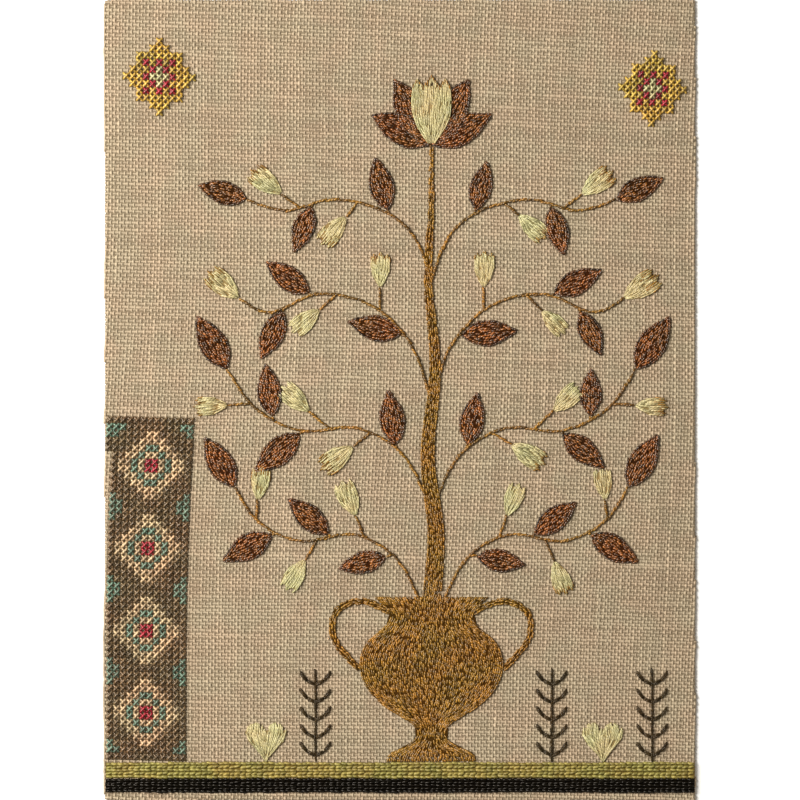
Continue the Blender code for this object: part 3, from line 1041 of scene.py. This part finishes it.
class SAMPLER_OT_stems(SamplerStep, Operator):
    """Fill the main stem, and work branches and twigs in stem stitch"""

    bl_idname = "sampler.stems"
    bl_label = "Stems"

    def work(self, settings):
        stitches = settings.stitches
        needle = Needle(settings, seed=42, scale=0.92)
        stem = from_plant(smooth_path(MAIN_STEM, 4))
        half_at = shape_half(((0.0, MAIN_STEM_ROOT), (1.0, MAIN_STEM_TIP)), Line(stem).length, 0.5)
        needle.fill(stem, half_at, stitches.grain_pitch, stitches.grain_length, edge=0.1 * MM)
        needle.piece("main_stem", "golden_brown", spread=0.5, ply=0.5)
        pad = pad_shape(stem, half_at, 0.3 * MM, last=0.99, stations=40)
        shade_pads(settings, "main_stem_pad", "golden_brown", [pad])
        needle = Needle(settings, seed=43, scale=1.12)
        branches, twigs, _ = plant_parts()
        for path in branches:
            needle.rope(path, stitches.rope_length)
        for path in twigs:
            needle.rope(path, min(stitches.rope_length, 0.9 * Line(path).length))
        shade = stained(settings.colours.golden_brown, *STEM_SHADE)
        needle.piece("stems", "golden_brown", shade, spread=0.6, ply=0.55)


class SAMPLER_OT_leaves(SamplerStep, Operator):
    """Outline the leaves in stem stitch and fill them with russet stitches along their length"""

    bl_idname = "sampler.leaves"
    bl_label = "Leaves"

    def work(self, settings):
        stitches = settings.stitches
        needle = Needle(settings, seed=44)
        pads = []
        for leaf, ends in growths_of("leaf"):
            half_at = leaf_half(leaf.length)
            needle.shades = LEAF_TONES
            needle.fill(ends, half_at, LEAF_PITCH * stitches.grain_pitch, stitches.leaf_length, edge=LEAF_EDGE)
            needle.shades = LEAF_EDGE_TONES
            for side in (1, -1):
                edge = [(s, side * max(half_at(s) - 0.2 * MM, 0.0)) for s in np.linspace(0.0, leaf.length, 12)]
                needle.rope(placed(edge, leaf.spot, leaf.turn), stitches.leaf_length, 0.12 * MM, share=DENSE_SHARE)
            pads.append(pad_shape(ends, half_at))
        needle.piece("leaves", "russet", spread=0.9, ply=0.7, ior=1.75)
        shade_pads(settings, "leaf_pads", "russet", pads)


class SAMPLER_OT_buds(SamplerStep, Operator):
    """Work the buds in long satin stitches with three points, and tip them with golden brown"""

    bl_idname = "sampler.buds"
    bl_label = "Buds"

    def work(self, settings):
        stitches = settings.stitches
        needle = Needle(settings, seed=45, scale=0.75)
        tips = Needle(settings, seed=48, scale=0.65)
        tip_at, pads = shape_tip(BUD_TIPS), []
        for bud, ends in growths_of("bud"):
            half_at = shape_half(BUD_OUTLINE, bud.length, 0.5 * BUD_WIDTH * bud.length)
            needle.rise = tips.rise = bud.rise
            needle.fill(ends, half_at, BUD_PITCH * stitches.grain_pitch, stitches.satin_length, tip_at=tip_at)
            pads.append(pad_shape(ends, half_at, last=0.84, rise=bud.rise))
            depth = tips.hand.uniform(*TIP_DEPTHS)
            count = round(2 * half_at(0.8 * bud.length) / stitches.grain_pitch)
            for across in np.linspace(-TIP_REACH, TIP_REACH, count):
                end = bud.length * (tip_at(across) + 0.01)
                start = end - bud.length * depth * tips.hand.uniform(0.5, 1.0)
                if end - start > TIP_LEAST:
                    local = [(at, across * (half_at(at) - 0.1 * MM)) for at in (start, end)]
                    tips.stitch(*placed(local, bud.spot, bud.turn), TIP_LIFT)
        needle.piece("buds", "cream", spread=0.2, ply=0.3)
        tips.piece("bud_tips", "golden_brown", spread=0.4)
        shade_pads(settings, "bud_pads", "cream", pads, depth=0.5)


class SAMPLER_OT_hearts(SamplerStep, Operator):
    """Work the hearts in satin stitches that fan out from the point"""

    bl_idname = "sampler.hearts"
    bl_label = "Hearts"

    def work(self, settings):
        stitches = settings.stitches
        needle = Needle(settings, seed=46, scale=0.75)
        height, tip_at, pads = HEART_HEIGHT * HEART_WIDTH, shape_tip(HEART_TIPS), []
        half_at = shape_half(HEART_OUTLINE, height, 0.5 * HEART_WIDTH)
        for offset in HEARTS_X:
            axis = upright(PLANT_X + offset, height)
            needle.fill(axis, half_at, HEART_PITCH * stitches.grain_pitch, stitches.satin_length, tip_at=tip_at)
            pads.append(pad_shape(axis, half_at, last=0.8))
        needle.piece("hearts", "cream", spread=0.2, ply=0.3)
        shade_pads(settings, "heart_pads", "cream", pads, depth=0.5)


class SAMPLER_OT_sprigs(SamplerStep, Operator):
    """Work the dark sprigs: an upright in stem stitch, with straight stitches for arms"""

    bl_idname = "sampler.sprigs"
    bl_label = "Sprigs"

    def work(self, settings):
        needle = Needle(settings, seed=47)
        for offset in SPRIGS_X:
            x = PLANT_X + offset
            needle.rope(upright(x, SPRIG_HEIGHT), settings.stitches.rope_length, 0.14 * MM)
            for tier in range(SPRIG_TIERS):
                y = GROUND_Y + SPRIG_FIRST_TIER + tier * SPRIG_TIER_STEP
                for side, strand in ((-1, -1), (-1, 1), (1, -1), (1, 1)):
                    rise, aside = SPRIG_ARM_RISE + strand * SPRIG_SPREAD, strand * SPRIG_APART
                    foot, elbow, tip = ((x + side * a * SPRIG_ARM_REACH, y + b * rise + aside) for a, b in SPRIG_ARM)
                    needle.stitch(foot, elbow, 0.04 * MM)
                    needle.stitch(elbow, tip, 0.08 * MM)
        needle.piece("sprigs", "dark", settings.colours.olive, ior=1.35)


class SAMPLER_OT_sheet(SamplerStep, Operator):
    bl_idname = "sampler.sheet"
    bl_label = "Sheet of cloth"

    def work(self, settings):
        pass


class SAMPLER_OT_studio(SamplerStep, Operator):
    """Set up the pale floor, the soft lights and the camera above the cloth"""

    bl_idname = "sampler.studio"
    bl_label = "Studio"

    def work(self, settings):
        studio, scene = settings.studio, bpy.context.scene
        shape = bmesh.new()
        bmesh.ops.create_grid(shape, x_segments=1, y_segments=1, size=FLOOR_SIZE)
        floor = added("floor", mesh_of("floor", shape))
        material = bpy.data.materials.new("floor")
        material.use_nodes = True
        shader = material.node_tree.nodes["Principled BSDF"]
        shader.inputs["Base Color"].default_value = (*studio.floor, 1.0)
        shader.inputs["Roughness"].default_value = 0.9
        floor.data.materials.append(material)
        floor.location.z = -FLOOR_DROP

        world = bpy.data.worlds.new("studio")
        world.use_nodes = True
        background = world.node_tree.nodes["Background"]
        background.inputs["Color"].default_value = FILL_COLOUR
        background.inputs["Strength"].default_value = studio.fill
        scene.world = world
        light = bpy.data.lights.new("key", "AREA")
        light.energy = studio.key_power
        light.size = KEY_SIZE
        light.color = KEY_COLOUR
        key = added("key", light)
        key.location = KEY_PLACE
        key.rotation_euler = (-key.location).to_track_quat("-Z", "Y").to_euler()

        lens = bpy.data.cameras.new("camera")
        lens.sensor_width = SENSOR_WIDTH
        lens.lens = lens.sensor_width * studio.camera_height / studio.view_width
        lens.clip_start = 0.01
        camera = added("camera", lens)
        camera.location = (0.0, 0.0, cloth_face(settings.cloth) + studio.camera_height)
        scene.camera = camera
        scene.view_settings.view_transform = "Standard"


STEPS = (
    SAMPLER_OT_linen,
    SAMPLER_OT_linen_body,
    SAMPLER_OT_ground_line,
    SAMPLER_OT_border,
    SAMPLER_OT_stars,
    SAMPLER_OT_urn,
    SAMPLER_OT_stems,
    SAMPLER_OT_leaves,
    SAMPLER_OT_buds,
    SAMPLER_OT_hearts,
    SAMPLER_OT_sprigs,
    SAMPLER_OT_sheet,
    SAMPLER_OT_studio,
)
GROUPS = {"cloth": SamplerCloth, "stitches": SamplerStitches, "colours": SamplerColours, "studio": SamplerStudio}


class SAMPLER_PT_panel(Panel):
    """The sampler's settings and steps"""

    bl_idname = "SAMPLER_PT_panel"
    bl_label = "Sampler"
    bl_space_type = "VIEW_3D"
    bl_region_type = "UI"
    bl_category = "Sampler"

    def draw(self, context):
        for name in GROUPS:
            box = self.layout.box()
            settings = getattr(context.scene, "sampler_" + name)
            for key in settings.bl_rna.properties.keys():
                if key not in {"rna_type", "name"}:
                    box.prop(settings, key)
        for step in STEPS:
            self.layout.operator(step.bl_idname)


def register():
    for group in GROUPS.values():
        bpy.utils.register_class(group)
    for step in (*STEPS, SAMPLER_PT_panel):
        bpy.utils.register_class(step)
    for name, group in GROUPS.items():
        setattr(Scene, "sampler_" + name, PointerProperty(type=group))


def unregister():
    for name in GROUPS:
        delattr(Scene, "sampler_" + name)
    for step in (*STEPS, SAMPLER_PT_panel, *GROUPS.values()):
        bpy.utils.unregister_class(step)


def main():
    register()
    for step in STEPS:
        getattr(bpy.ops.sampler, step.bl_idname.split(".")[1])()


if __name__ == "__main__":
    main()
